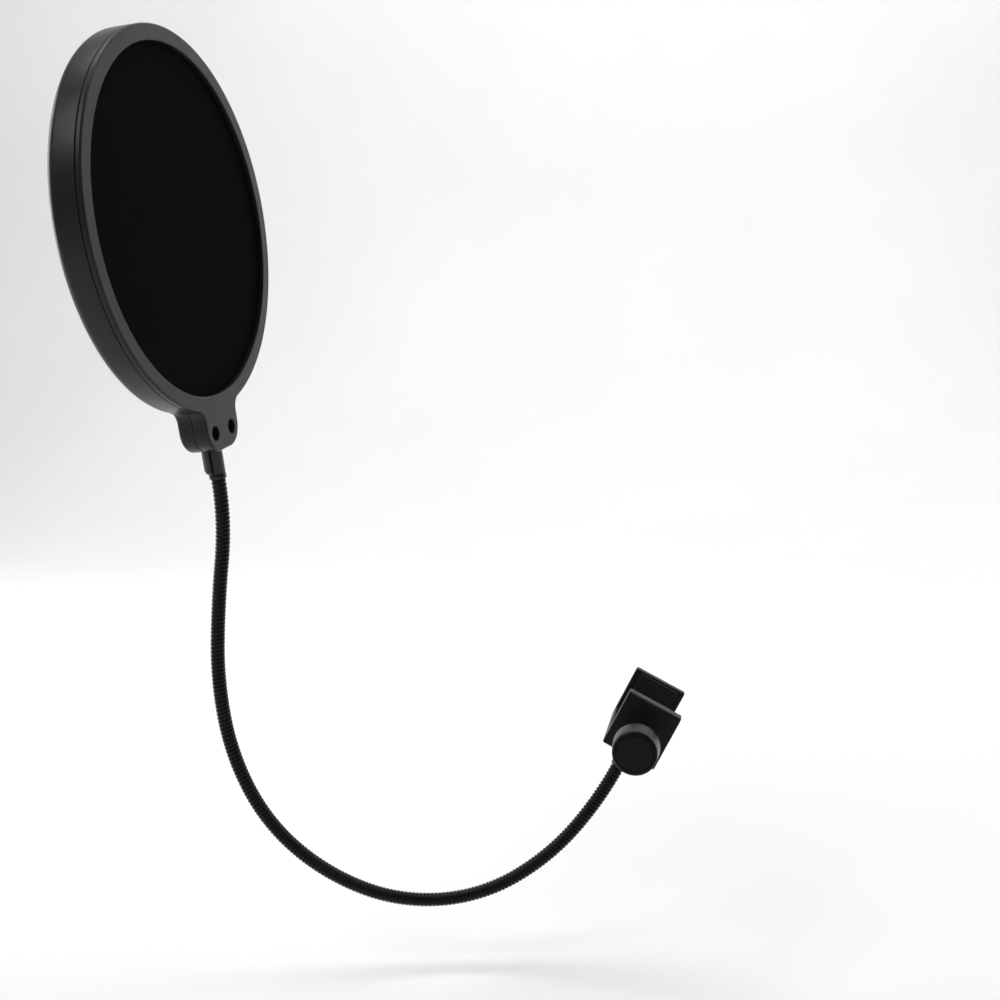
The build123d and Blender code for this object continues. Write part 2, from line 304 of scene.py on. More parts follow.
def rounded(corners: list[tuple[float, float, float]], steps: int = 8) -> list[Point]:
    """Rounds the corners of a closed outline.

    Args:
        corners: x, y and radius of each corner, in order.
        steps: Segments in each round.

    Returns:
        The outline's points.
    """
    outline: list[Point] = []
    for i, (x, y, radius) in enumerate(corners):
        here = np.array([x, y])
        before = np.array(corners[i - 1][:2]) - here
        after = np.array(corners[(i + 1) % len(corners)][:2]) - here
        if radius <= 0:
            outline.append((x, y))
            continue
        before, after = before / np.linalg.norm(before), after / np.linalg.norm(after)
        half = math.acos(np.clip(before @ after, -1, 1)) / 2
        reach = radius / math.tan(half)
        middle = here + (before + after) / np.linalg.norm(before + after) * radius / math.sin(half)
        start, end = here + before * reach - middle, here + after * reach - middle
        first = math.atan2(start[1], start[0])
        sweep = (math.atan2(end[1], end[0]) - first + math.pi) % (2 * math.pi) - math.pi
        for k in range(steps + 1):
            angle = first + sweep * k / steps
            outline.append(tuple(middle + radius * np.array([math.cos(angle), math.sin(angle)])))
    return outline


def circle(x: float, y: float, radius: float, count: int = 48) -> list[Point]:
    """A closed circle, anticlockwise."""
    turns = np.linspace(0, 2 * math.pi, count, endpoint=False)
    return [(x + radius * math.cos(t), y + radius * math.sin(t)) for t in turns]


def inset(outline: list[Point], distance: float) -> list[Point]:
    """Moves an anticlockwise outline inwards.

    Args:
        outline: The outline's points.
        distance: How far; negative moves it outwards.

    Returns:
        As many points, moved.
    """
    points = np.array(outline)
    ahead = np.roll(points, -1, 0) - points
    behind = points - np.roll(points, 1, 0)
    ahead /= np.linalg.norm(ahead, axis=1)[:, None]
    behind /= np.linalg.norm(behind, axis=1)[:, None]
    tangent = ahead + behind
    tangent /= np.linalg.norm(tangent, axis=1)[:, None]
    normal = np.stack([-tangent[:, 1], tangent[:, 0]], 1)
    stretch = 1 / np.clip((tangent * ahead).sum(1), 0.5, 1)
    return [tuple(p) for p in points + normal * (distance * stretch)[:, None]]


def edge_layers(low: float, high: float, low_round: float, high_round: float) -> list[Point]:
    """Inset and height of each layer of a slab with rounded edges, with a flat rim kept beside each round."""
    layers = [(low_round + 0.1, low)]
    for k in range(6):
        turn = k / 5 * math.pi / 2
        layers.append((low_round * (1 - math.sin(turn)), low + low_round * (1 - math.cos(turn))))
    for k in range(6):
        turn = k / 5 * math.pi / 2
        layers.append((high_round * (1 - math.cos(turn)), high - high_round * (1 - math.sin(turn))))
    layers.append((high_round + 0.1, high))
    return layers


@dataclass(frozen=True)
class Recess:
    """A hole in a slab.

    Attributes:
        outline: Its outline, anticlockwise.
        floor: Height of its floor, or None for a hole that goes through.
        ease: Rounding of its mouth, in millimetres.
    """

    outline: list[Point]
    floor: float | None = None
    ease: float = 0.25


class Shape:
    """Vertices and faces being put together in one set of local axes."""

    def __init__(self, local: Local) -> None:
        self.local = local
        self.points: list[tuple[float, float, float]] = []
        self.faces: list[list[int]] = []

    def loop(self, points: list[tuple[float, float, float]]) -> list[int]:
        """Adds points and returns their numbers."""
        start = len(self.points)
        self.points.extend(points)
        return list(range(start, start + len(points)))

    def wall(self, low: list[int], high: list[int]) -> None:
        """Joins two closed loops of as many points with quads."""
        count = len(low)
        for i in range(count):
            j = (i + 1) % count
            self.faces.append([low[i], low[j], high[j], high[i]])

    def loft(self, loops: list[list[tuple[float, float, float]]], ring: bool = False) -> "Shape":
        """A closed skin over loops.

        Args:
            loops: Loops of as many points.
            ring: Whether the last loop joins the first, so that there are no ends.

        Returns:
            The shape.
        """
        numbers = [self.loop(points) for points in loops]
        for low, high in zip(numbers, numbers[1:]):
            self.wall(low, high)
        if ring:
            self.wall(numbers[-1], numbers[0])
        else:
            self.faces.append(numbers[0][::-1])
            self.faces.append(numbers[-1])
        return self

    def turn(self, profile: list[Point], count: int = 96, ring: bool = True) -> "Shape":
        """Turns a profile of radius and height about local z.

        Args:
            profile: Radius and height of each point.
            count: Segments around.
            ring: Whether the profile is a closed outline; if not, its two ends are capped.

        Returns:
            The shape.
        """
        loops = [[(p[0], p[1], z) for p in circle(0, 0, r, count)] for r, z in profile]
        return self.loft(loops, ring)

    def cap(self, outer: list[int], holes: list[list[int]], up: bool) -> None:
        """Fills the flat face between an outline and its holes."""
        used = [*outer, *(n for hole in holes for n in hole)]
        flat = [Vector(self.points[n][:2]) for n in used]
        edges, start = [], 0
        for ring in (outer, *holes):
            edges += [(start + i, start + (i + 1) % len(ring)) for i in range(len(ring))]
            start += len(ring)
        _, _, triangles, origins, _, _ = delaunay_2d_cdt(flat, edges, [], 1, 1e-7)
        found = [o[0] if o else -1 for o in origins]
        for triangle in triangles:
            middle = sum((flat[found[i]] for i in triangle), Vector((0, 0))) / 3
            if any(inside(middle, [self.points[n][:2] for n in hole]) for hole in holes):
                continue
            face = [used[found[i]] for i in triangle]
            self.faces.append(face if up else face[::-1])

    def slab(
        self,
        outline: list[Point] | Callable[[float], list[Point]],
        layers: list[Point],
        recesses: tuple[Recess, ...] = (),
    ) -> "Shape":
        """A slab with rounded edges and holes.

        Args:
            outline: Outline, anticlockwise, or a function that gives it for an inset.
            layers: Inset and height of each layer, from low to high.
            recesses: Its holes.

        Returns:
            The shape.
        """
        drawn = outline if callable(outline) else lambda d: inset(outline, d)
        rims = [self.loop([(x, y, z) for x, y in drawn(d)]) for d, z in layers]
        for low, high in zip(rims, rims[1:]):
            self.wall(low, high)
        low_z, high_z = layers[0][1], layers[-1][1]
        low_holes, high_holes = [], []
        for recess in recesses:
            floor = low_z if recess.floor is None else recess.floor
            steps = [(recess.ease + 0.1, high_z)]
            for k in range(5):
                turn = k / 4 * math.pi / 2
                drop = recess.ease * (1 - math.cos(turn))
                steps.append((recess.ease * (1 - math.sin(turn)), high_z - drop))
            steps.append((0.0, floor))
            rings = [self.loop([(x, y, z) for x, y in inset(recess.outline, -d)]) for d, z in steps]
            for high, low in zip(rings, rings[1:]):
                self.wall(high, low)
            high_holes.append(rings[0])
            if recess.floor is None:
                low_holes.append(rings[-1])
            else:
                self.faces.append(rings[-1])
        self.cap(rims[0], low_holes, False)
        self.cap(rims[-1], high_holes, True)
        return self

    def build(self, name: str, material: bpy.types.Material, sharp: float = 38.0) -> bpy.types.Object:
        """Makes the object.

        Args:
            name: Its name.
            material: Its material.
            sharp: Edges steeper than this, in degrees, stay sharp.

        Returns:
            The object, with its points in the row frame.
        """
        mesh = bpy.data.meshes.new(name)
        mesh.from_pydata(self.local.points(np.array(self.points)).tolist(), [], self.faces)
        made = bmesh.new()
        made.from_mesh(mesh)
        bmesh.ops.recalc_face_normals(made, faces=made.faces)
        made.to_mesh(mesh)
        made.free()
        mesh.materials.append(material)
        return finish_mesh(mesh, name, sharp)


def inside(point: Vector, outline: list[Point]) -> bool:
    """Whether a point is inside a closed outline."""
    found = False
    for (ax, ay), (bx, by) in zip(outline, [*outline[1:], outline[0]]):
        if (ay > point.y) != (by > point.y) and point.x < (bx - ax) * (point.y - ay) / (by - ay) + ax:
            found = not found
    return found


def finish_mesh(mesh: bpy.types.Mesh, name: str, sharp: float = 38.0) -> bpy.types.Object:
    """Smooths a mesh except at its sharp edges and puts it in the scene."""
    mesh.shade_smooth()
    mesh.set_sharp_from_angle(angle=math.radians(sharp))
    made = bpy.data.objects.new(name, mesh)
    bpy.context.scene.collection.objects.link(made)
    return made


def settle(made: bpy.types.Object, sharp: float = 38.0) -> bpy.types.Object:
    """Turns an object's modifiers into plain mesh and takes them off."""
    depsgraph = bpy.context.evaluated_depsgraph_get()
    mesh = bpy.data.meshes.new_from_object(made.evaluated_get(depsgraph))
    old = made.data
    made.modifiers.clear()
    made.data = mesh
    bpy.data.meshes.remove(old)
    mesh.shade_smooth()
    mesh.set_sharp_from_angle(angle=math.radians(sharp))
    return made


def cut(made: bpy.types.Object, tool: bpy.types.Object) -> bpy.types.Object:
    """Takes tool out of made, and removes tool."""
    modifier = made.modifiers.new("cut", "BOOLEAN")
    modifier.operation = "DIFFERENCE"
    modifier.solver = "EXACT"
    modifier.object = tool
    settle(made)
    bpy.data.objects.remove(tool)
    return made


def merge(made: bpy.types.Object, *others: bpy.types.Object) -> bpy.types.Object:
    """Joins the others' meshes into made."""
    joined = bmesh.new()
    for each in (made, *others):
        joined.from_mesh(each.data)
    joined.to_mesh(made.data)
    joined.free()
    for each in others:
        bpy.data.objects.remove(each)
    return made


# ------------------------------------------------------------------ node trees
class Tree:
    """A short way to add and link nodes."""

    def __init__(self, tree: bpy.types.NodeTree) -> None:
        self.tree = tree

    def add(self, kind: str, values: dict | None = None, **settings) -> bpy.types.Node:
        """Adds a node.

        Args:
            kind: The node's type.
            values: Input name or number to a value, or to the socket that feeds it.
            **settings: The node's own properties.

        Returns:
            The node.
        """
        node = self.tree.nodes.new(kind)
        for key, value in settings.items():
            setattr(node, key, value)
        for key, value in (values or {}).items():
            if isinstance(value, bpy.types.NodeSocket):
                self.tree.links.new(value, node.inputs[key])
            else:
                node.inputs[key].default_value = value
        return node

    def math(self, operation: str, a, b=0.0, c=0.0) -> bpy.types.NodeSocket:
        """A math node's output."""
        return self.add("ShaderNodeMath", {0: a, 1: b, 2: c}, operation=operation).outputs[0]

    def vector(self, operation: str, a, b=(0.0, 0.0, 0.0)) -> bpy.types.Node:
        """A vector math node."""
        return self.add("ShaderNodeVectorMath", {0: a, 1: b}, operation=operation)

    def blend(self, share, low, high) -> bpy.types.NodeSocket:
        """The output of a colour mix from low to high."""
        node = self.tree.nodes.new("ShaderNodeMix")
        node.data_type = "RGBA"
        for number, value in ((0, share), (6, low), (7, high)):
            if isinstance(value, bpy.types.NodeSocket):
                self.tree.links.new(value, node.inputs[number])
            else:
                node.inputs[number].default_value = value
        return node.outputs[2]


def new_group(
    name: str, kind: str, inputs: list[tuple], outputs: list[tuple[str, str]]
) -> tuple[Tree, bpy.types.Node]:
    """Makes a node group.

    Args:
        name: Its name.
        kind: ShaderNodeTree or GeometryNodeTree.
        inputs: Name, socket type and, where it has one, the default of each input.
        outputs: Name and socket type of each output.

    Returns:
        The tree and its input node.
    """
    group = bpy.data.node_groups.new(name, kind)
    for title, socket, *default in inputs:
        made = group.interface.new_socket(title, in_out="INPUT", socket_type=socket)
        if default:
            made.default_value = default[0]
    for title, socket in outputs:
        group.interface.new_socket(title, in_out="OUTPUT", socket_type=socket)
    tree = Tree(group)
    return tree, tree.add("NodeGroupInput")


def apply_tree(made: bpy.types.Object, group: bpy.types.NodeTree, **inputs) -> bpy.types.Object:
    """Runs a geometry tree on an object and keeps the result as plain mesh.

    Args:
        made: The object.
        group: The tree.
        **inputs: Its inputs by name, with underscores for spaces.

    Returns:
        The object.
    """
    modifier = made.modifiers.new(group.name, "NODES")
    modifier.node_group = group
    sockets = {
        item.name: item.identifier
        for item in group.interface.items_tree
        if item.item_type == "SOCKET" and item.in_out == "INPUT"
    }
    for key, value in inputs.items():
        modifier[sockets[key.replace("_", " ")]] = value
    return settle(made, 75.0)


def ridge_tree() -> bpy.types.NodeTree:
    """A tube along a path with a helical ridge: wound wire with a round crest, thread with a sharp one."""
    tree, given = new_group(
        "Helical Ridge",
        "GeometryNodeTree",
        [
            ("Geometry", "NodeSocketGeometry"),
            ("Radius", "NodeSocketFloat", 0.003),
            ("Pitch", "NodeSocketFloat", 0.0018),
            ("Depth", "NodeSocketFloat", 0.0004),
            ("Crest", "NodeSocketFloat", 2.0),
            ("Turn", "NodeSocketFloat", 1.0),
            ("Plane Normal", "NodeSocketVector"),
            ("Segments", "NodeSocketInt", 32),
            ("Material", "NodeSocketMaterial"),
        ],
        [("Geometry", "NodeSocketGeometry")],
    )
    path = tree.add("GeometryNodeMeshToCurve", {"Mesh": given.outputs["Geometry"]})
    ring = tree.add(
        "GeometryNodeCurvePrimitiveCircle",
        {"Resolution": given.outputs["Segments"], "Radius": given.outputs["Radius"]},
    )
    tube = tree.add(
        "GeometryNodeCurveToMesh",
        {"Curve": path.outputs[0], "Profile Curve": ring.outputs[0], "Fill Caps": True},
    )

    def stored(name: str, data_type: str) -> bpy.types.NodeSocket:
        node = tree.add("GeometryNodeInputNamedAttribute", data_type=data_type)
        node.inputs["Name"].default_value = name
        return node.outputs["Attribute"]

    place = tree.add("GeometryNodeInputPosition").outputs[0]
    reach = tree.vector("SUBTRACT", place, stored("path_centre", "FLOAT_VECTOR"))
    away = tree.vector("NORMALIZE", reach.outputs[0])
    normal = given.outputs["Plane Normal"]
    side = tree.vector("CROSS_PRODUCT", stored("path_heading", "FLOAT_VECTOR"), normal)
    rise = tree.vector("DOT_PRODUCT", away.outputs[0], normal).outputs["Value"]
    run = tree.vector("DOT_PRODUCT", away.outputs[0], side.outputs[0]).outputs["Value"]
    angle = tree.math("DIVIDE", tree.math("ARCTAN2", run, rise), 2 * math.pi)
    count = tree.math("DIVIDE", stored("path_length", "FLOAT"), given.outputs["Pitch"])
    phase = tree.math("FRACT", tree.math("ADD", count, tree.math("MULTIPLY", angle, given.outputs["Turn"])))
    off_crest = tree.math("ABSOLUTE", tree.math("MULTIPLY_ADD", phase, 2.0, -1.0))
    shape = tree.math("POWER", off_crest, given.outputs["Crest"])
    drop = tree.math("MULTIPLY", tree.math("MULTIPLY", shape, given.outputs["Depth"]), -1.0)
    inwards = tree.add("ShaderNodeVectorMath", {0: away.outputs[0], "Scale": drop}, operation="SCALE")
    ridged = tree.add("GeometryNodeSetPosition", {"Geometry": tube.outputs[0], "Offset": inwards.outputs[0]})
    real = tree.add("GeometryNodeRealizeInstances", {"Geometry": ridged.outputs[0]})
    dressed = tree.add(
        "GeometryNodeSetMaterial", {"Geometry": real.outputs[0], "Material": given.outputs["Material"]}
    )
    tree.add("NodeGroupOutput", {0: dressed.outputs[0]})
    return tree.tree


def scatter_tree() -> bpy.types.NodeTree:
    """Sets a copy of one piece at each point."""
    tree, given = new_group(
        "Set Out Copies",
        "GeometryNodeTree",
        [
            ("Geometry", "NodeSocketGeometry"),
            ("Piece", "NodeSocketObject"),
            ("Material", "NodeSocketMaterial"),
        ],
        [("Geometry", "NodeSocketGeometry")],
    )
    piece = tree.add("GeometryNodeObjectInfo", {"Object": given.outputs["Piece"]})
    copies = tree.add(
        "GeometryNodeInstanceOnPoints",
        {"Points": given.outputs["Geometry"], "Instance": piece.outputs["Geometry"]},
    )
    real = tree.add("GeometryNodeRealizeInstances", {"Geometry": copies.outputs[0]})
    dressed = tree.add(
        "GeometryNodeSetMaterial", {"Geometry": real.outputs[0], "Material": given.outputs["Material"]}
    )
    tree.add("NodeGroupOutput", {0: dressed.outputs[0]})
    return tree.tree


def path_object(name: str, points: list[Vector], start: float) -> bpy.types.Object:
    """A line of points that knows its length, heading and centre at each.

    Args:
        name: The object's name.
        points: The points, in the row frame.
        start: Length before the first point, in metres.

    Returns:
        The object.
    """
    mesh = bpy.data.meshes.new(name)
    mesh.from_pydata(points, [(i, i + 1) for i in range(len(points) - 1)], [])
    places = np.array(points, float)
    steps = np.linalg.norm(np.diff(places, axis=0), axis=1)
    lengths = start + np.concatenate([[0.0], np.cumsum(steps)])
    headings = np.gradient(places, axis=0)
    headings /= np.linalg.norm(headings, axis=1)[:, None]
    mesh.attributes.new("path_length", "FLOAT", "POINT").data.foreach_set("value", lengths)
    mesh.attributes.new("path_heading", "FLOAT_VECTOR", "POINT").data.foreach_set("vector", headings.ravel())
    mesh.attributes.new("path_centre", "FLOAT_VECTOR", "POINT").data.foreach_set("vector", places.ravel())
    made = bpy.data.objects.new(name, mesh)
    bpy.context.scene.collection.objects.link(made)
    return made


# ------------------------------------------------------------------ finishes
@dataclass(frozen=True)
class Finish:
    """How one material looks.

    Attributes:
        name: The record's material slot.
        color: Base colour.
        roughness: Mean roughness.
        gloss: Specular level; 0.5 is plain plastic.
        metallic: 1 for bare metal.
        coat: Weight of a clear coat.
        grain: Size of the surface grain, in millimetres.
        relief: Height of the grain, in millimetres.
        mottle: How far the grain varies the roughness.
        scuff: How much handling shows.
        dust: How much dust lies on faces that look up.
    """

    name: str
    color: tuple[float, float, float]
    roughness: float
    gloss: float = 0.5
    metallic: float = 0.0
    coat: float = 0.0
    grain: float = 0.4
    relief: float = 0.01
    mottle: float = 0.08
    scuff: float = 0.3
    dust: float = 0.1


FINISHES = (
    Finish("hoop_plastic", (0.0085, 0.0085, 0.009), 0.34,
           gloss=0.26, grain=0.35, relief=0.010, scuff=0.35, dust=0.06),
    Finish("inner_plastic", (0.005, 0.005, 0.005), 0.55, gloss=0.2, grain=0.5, relief=0.02),
    Finish("clamp_plastic", (0.0035, 0.0035, 0.0035), 0.42,
           gloss=0.16, grain=0.30, relief=0.03, scuff=0.35, dust=0.05),
    Finish("knob_plastic", (0.0022, 0.0022, 0.0022), 0.32,
           gloss=0.14, grain=0.25, relief=0.006, scuff=0.3, dust=0.04),
    Finish("neck_black", (0.0022, 0.0022, 0.0022), 0.24,
           gloss=0.13, coat=0.02, grain=0.5, relief=0.005, dust=0.03),
    Finish("ferrule_black", (0.002, 0.002, 0.002), 0.12,
           gloss=0.3, coat=0.1, grain=0.8, relief=0.001, dust=0.02),
    Finish("spring_steel", (0.42, 0.42, 0.43), 0.35, metallic=1.0, grain=0.6, relief=0.004, mottle=0.1),
    Finish("screw_steel", (0.50, 0.50, 0.52), 0.30,
           metallic=1.0, relief=0.004, mottle=0.12, scuff=0.4, dust=0.05),
    Finish("zinc_steel", (0.09, 0.09, 0.095), 0.36,
           metallic=0.9, relief=0.006, mottle=0.12, scuff=0.4, dust=0.05),
    Finish("brass", (0.68, 0.49, 0.20), 0.28,
           metallic=1.0, grain=0.6, relief=0.004, mottle=0.12, scuff=0.4, dust=0.0),
    Finish("rubber", (0.008, 0.008, 0.008), 0.72,
           gloss=0.25, grain=0.35, relief=0.03, mottle=0.1, dust=0.15),
)


class Materials:
    """Builds the shared node groups and every material."""

    def __init__(self) -> None:
        self.grain = self._grain_group()
        self.scuff = self._scuff_group()
        self.dust = self._dust_group()
        self.weave = self._weave_group()
        self.made = {finish.name: self._surface(finish) for finish in FINISHES}
        self.made["nylon_mesh"] = self._mesh_cloth()

    def __getitem__(self, name: str) -> bpy.types.Material:
        """The material of that slot."""
        return self.made[name]

    @staticmethod
    def _grain_group() -> bpy.types.NodeTree:
        """Fine moulded or cast grain over a slow mottle."""
        tree, given = new_group(
            "Surface Grain",
            "ShaderNodeTree",
            [("Vector", "NodeSocketVector"), ("Size", "NodeSocketFloat", 0.0004)],
            [("Height", "NodeSocketFloat"), ("Mottle", "NodeSocketFloat")],
        )
        scale = tree.math("DIVIDE", 1.0, given.outputs["Size"])
        fine = tree.add(
            "ShaderNodeTexNoise",
            {"Vector": given.outputs["Vector"], "Scale": scale, "Detail": 4.0, "Roughness": 0.6},
        )
        cells = tree.add("ShaderNodeTexVoronoi", {"Vector": given.outputs["Vector"], "Scale": scale})
        slow = tree.add(
            "ShaderNodeTexNoise",
            {"Vector": given.outputs["Vector"], "Scale": tree.math("MULTIPLY", scale, 0.03), "Detail": 5.0},
        )
        height = tree.math("MULTIPLY_ADD", cells.outputs["Distance"], 0.4, fine.outputs[0])
        tree.add("NodeGroupOutput", {"Height": height, "Mottle": slow.outputs[0]})
        return tree.tree

    @staticmethod
    def _scuff_group() -> bpy.types.NodeTree:
        """Thin scratches and rubbed patches."""
        tree, given = new_group(
            "Handling Scuffs",
            "ShaderNodeTree",
            [("Vector", "NodeSocketVector"), ("Amount", "NodeSocketFloat", 0.3)],
            [("Fac", "NodeSocketFloat")],
        )
        turned = tree.add(
            "ShaderNodeMapping",
            {"Vector": given.outputs["Vector"], "Rotation": (0.5, 0.9, 0.3), "Scale": (1, 18, 3)},
        )
        lines = tree.add("ShaderNodeTexNoise", {"Vector": turned.outputs[0], "Scale": 90.0, "Detail": 6.0})
        line = tree.add("ShaderNodeMapRange", {0: lines.outputs[0], 1: 0.62, 2: 0.72, 3: 0.0, 4: 1.0})
        where = tree.add(
            "ShaderNodeTexNoise", {"Vector": given.outputs["Vector"], "Scale": 34.0, "Detail": 3.0}
        )
        patch = tree.add("ShaderNodeMapRange", {0: where.outputs[0], 1: 0.48, 2: 0.68, 3: 0.0, 4: 1.0})
        both = tree.math("MULTIPLY", line.outputs[0], patch.outputs[0])
        tree.add("NodeGroupOutput", {0: tree.math("MULTIPLY", both, given.outputs["Amount"])})
        return tree.tree

    @staticmethod
    def _dust_group() -> bpy.types.NodeTree:
        """A thin uneven film on faces that look up."""
        tree, given = new_group(
            "Settled Dust",
            "ShaderNodeTree",
            [("Vector", "NodeSocketVector"), ("Amount", "NodeSocketFloat", 0.1)],
            [("Fac", "NodeSocketFloat")],
        )
        facing = tree.add("ShaderNodeSeparateXYZ", {0: tree.add("ShaderNodeNewGeometry").outputs["Normal"]})
        upward = tree.add("ShaderNodeMapRange", {0: facing.outputs["Z"], 1: 0.2, 2: 1.0, 3: 0.0, 4: 1.0})
        cloud = tree.add(
            "ShaderNodeTexNoise", {"Vector": given.outputs["Vector"], "Scale": 60.0, "Detail": 8.0}
        )
        film = tree.add("ShaderNodeMapRange", {0: cloud.outputs[0], 1: 0.35, 2: 0.75, 3: 0.2, 4: 1.0})
        both = tree.math("MULTIPLY", upward.outputs[0], film.outputs[0])
        tree.add("NodeGroupOutput", {0: tree.math("MULTIPLY", both, given.outputs["Amount"])})
        return tree.tree

    @staticmethod
    def _weave_group() -> bpy.types.NodeTree:
        """Plain weave: threads over and under each other. Its second output is high on raised thread and low
        between and under threads, where the cloth material paints shade.
        """
        tree, given = new_group(
            "Plain Weave",
            "ShaderNodeTree",
            [("Vector", "NodeSocketVector"), ("Pitch", "NodeSocketFloat", 0.5)],
            [("Height", "NodeSocketFloat"), ("Thread", "NodeSocketFloat")],
        )
        split = tree.add("ShaderNodeSeparateXYZ", {0: given.outputs["Vector"]})
        along = [tree.math("DIVIDE", split.outputs[axis], given.outputs["Pitch"]) for axis in (0, 1)]
        parity = tree.math("PINGPONG", tree.math("ADD", *[tree.math("FLOOR", a) for a in along]), 1.0)
        rounds = [tree.math("SINE", tree.math("MULTIPLY", tree.math("FRACT", a), math.pi)) for a in along]
        warp = tree.math("MULTIPLY", rounds[0], tree.math("MULTIPLY_ADD", parity, 0.45, 0.55))
        under = tree.math("SUBTRACT", 1.0, parity)
        weft = tree.math("MULTIPLY", rounds[1], tree.math("MULTIPLY_ADD", under, 0.45, 0.55))
        height = tree.math("MAXIMUM", warp, weft)
        # share of the thread's own colour: the low spots between and under threads get painted shade in the
        # cloth material
        thread = tree.add("ShaderNodeMapRange", {0: height, 1: 0.35, 2: 0.8, 3: 0.0, 4: 1.0})
        tree.add("NodeGroupOutput", {"Height": height, "Thread": thread.outputs[0]})
        return tree.tree

    def _group(self, tree: Tree, group: bpy.types.NodeTree, values: dict) -> bpy.types.Node:
        """Adds a group to a material."""
        node = tree.add("ShaderNodeGroup", node_tree=group)
        for key, value in values.items():
            if isinstance(value, bpy.types.NodeSocket):
                tree.tree.links.new(value, node.inputs[key])
            else:
                node.inputs[key].default_value = value
        return node

    def _surface(self, finish: Finish) -> bpy.types.Material:
        """A solid material with grain, scuffs and dust.

        Args:
            finish: How it looks.

        Returns:
            The material.
        """
        material = bpy.data.materials.new(finish.name)
        material.use_nodes = True
        material.node_tree.nodes.clear()
        tree = Tree(material.node_tree)
        place = tree.add("ShaderNodeTexCoord").outputs["Object"]
        grain = self._group(tree, self.grain, {"Vector": place, "Size": finish.grain * MM})
        scuff = self._group(tree, self.scuff, {"Vector": place, "Amount": finish.scuff})
        dust = self._group(tree, self.dust, {"Vector": place, "Amount": finish.dust})
        pale = tuple(min(1.0, c * 1.5 + 0.03) for c in finish.color)
        worn = tree.blend(scuff.outputs[0], (*finish.color, 1.0), (*pale, 1.0))
        dusty = tree.blend(dust.outputs[0], worn, (0.24, 0.23, 0.22, 1.0))
        spread = tree.add(
            "ShaderNodeMapRange",
            {0: grain.outputs["Mottle"], 1: 0.3, 2: 0.7, 3: finish.roughness - finish.mottle / 2,
             4: finish.roughness + finish.mottle / 2},
        )
        rough = tree.math("MULTIPLY_ADD", scuff.outputs[0], 0.2, spread.outputs[0])
        bump = tree.add(
            "ShaderNodeBump",
            {"Height": grain.outputs["Height"], "Distance": finish.relief * MM, "Strength": 1.0},
        )
        skin = tree.add(
            "ShaderNodeBsdfPrincipled",
            {"Base Color": dusty, "Metallic": finish.metallic, "Roughness": rough,
             "Specular IOR Level": finish.gloss, "Coat Weight": finish.coat, "Coat Roughness": 0.08,
             "Normal": bump.outputs[0]},
        )
        tree.add("ShaderNodeOutputMaterial", {0: skin.outputs[0]})
        return material

    def _mesh_cloth(self) -> bpy.types.Material:
        """Fine black woven nylon, with painted shade in the low spots between and under its threads."""
        material = bpy.data.materials.new("nylon_mesh")
        material.use_nodes = True
        material.node_tree.nodes.clear()
        tree = Tree(material.node_tree)
        flat = tree.add("ShaderNodeUVMap", uv_map="Flat").outputs[0]
        place = tree.add("ShaderNodeTexCoord").outputs["Object"]
        weave = self._group(tree, self.weave, {"Vector": flat, "Pitch": 0.42})
        dust = self._group(tree, self.dust, {"Vector": place, "Amount": 0.05})
        # painted shade: near black in the low spots between and under threads, the nylon's own black on the
        # raised threads
        painted_gap_shade, thread = (0.0002, 0.0002, 0.0002, 1.0), (0.0026, 0.0026, 0.0027, 1.0)
        shade = tree.blend(weave.outputs["Thread"], painted_gap_shade, thread)
        dusty = tree.blend(dust.outputs[0], shade, (0.05, 0.05, 0.05, 1.0))
        bump = tree.add(
            "ShaderNodeBump", {"Height": weave.outputs["Height"], "Distance": 0.08 * MM, "Strength": 0.7}
        )
        skin = tree.add(
            "ShaderNodeBsdfPrincipled",
            {"Base Color": dusty, "Roughness": 0.85, "Specular IOR Level": 0.03,
             "Normal": bump.outputs[0]},
        )
        tree.add("ShaderNodeOutputMaterial", {0: skin.outputs[0]})
        return material


# ------------------------------------------------------------------ sub-assemblies
@dataclass
class Assembly:
    """A group of pieces that are made together.

    Attributes:
        layout: Places and directions.
        materials: Every material.
        made: Names of the pieces made so far.
    """

    layout: Layout
    materials: Materials
    made: list[str] = field(default_factory=list)

    def keep(self, piece: bpy.types.Object, body: str, slot: str, *nodes: str) -> bpy.types.Object:
        """Sets a finished piece on its body in place of CAD nodes.

        Args:
            piece: The piece.
            body: The CAD body it moves with.
            slot: The record's material slot; not used.
            *nodes: CAD nodes that it stands for.

        Returns:
            The piece.
        """
        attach(piece, body)
        if nodes:
            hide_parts(*nodes)
        self.made.append(piece.name)
        LOG.info("%s: %d faces on %s", piece.name, len(piece.data.polygons), body)
        return piece

    def carry(self, node: str, slot: str) -> None:
        """Gives a CAD node that is shown as it is its material."""
        shown = frame["nodes"][node]
        shown.data.materials.clear()
        shown.data.materials.append(self.materials[slot])
        self.made.append(node)


def ferrule_mouth(depth: float) -> list[Point]:
    """Profile of a ferrule's rolled mouth and crimp.

    Args:
        depth: How deep its bore is, in millimetres.

    Returns:
        Radius and height of each point, from the bore's end to past the crimp.
    """
    bore, crimp = NECK_R + 0.02, FERRULE_R - 0.12
    return [
        (bore, depth),
        (bore, 0.25),
        (NECK_R + 0.2, 0.0),
        (FERRULE_R - 0.2, 0.0),
        (FERRULE_R - 0.04, 0.12),
        (FERRULE_R, 0.35),
        (FERRULE_R, 2.0),
        (crimp, 2.25),
        (crimp, 2.75),
        (FERRULE_R, 3.0),
    ]


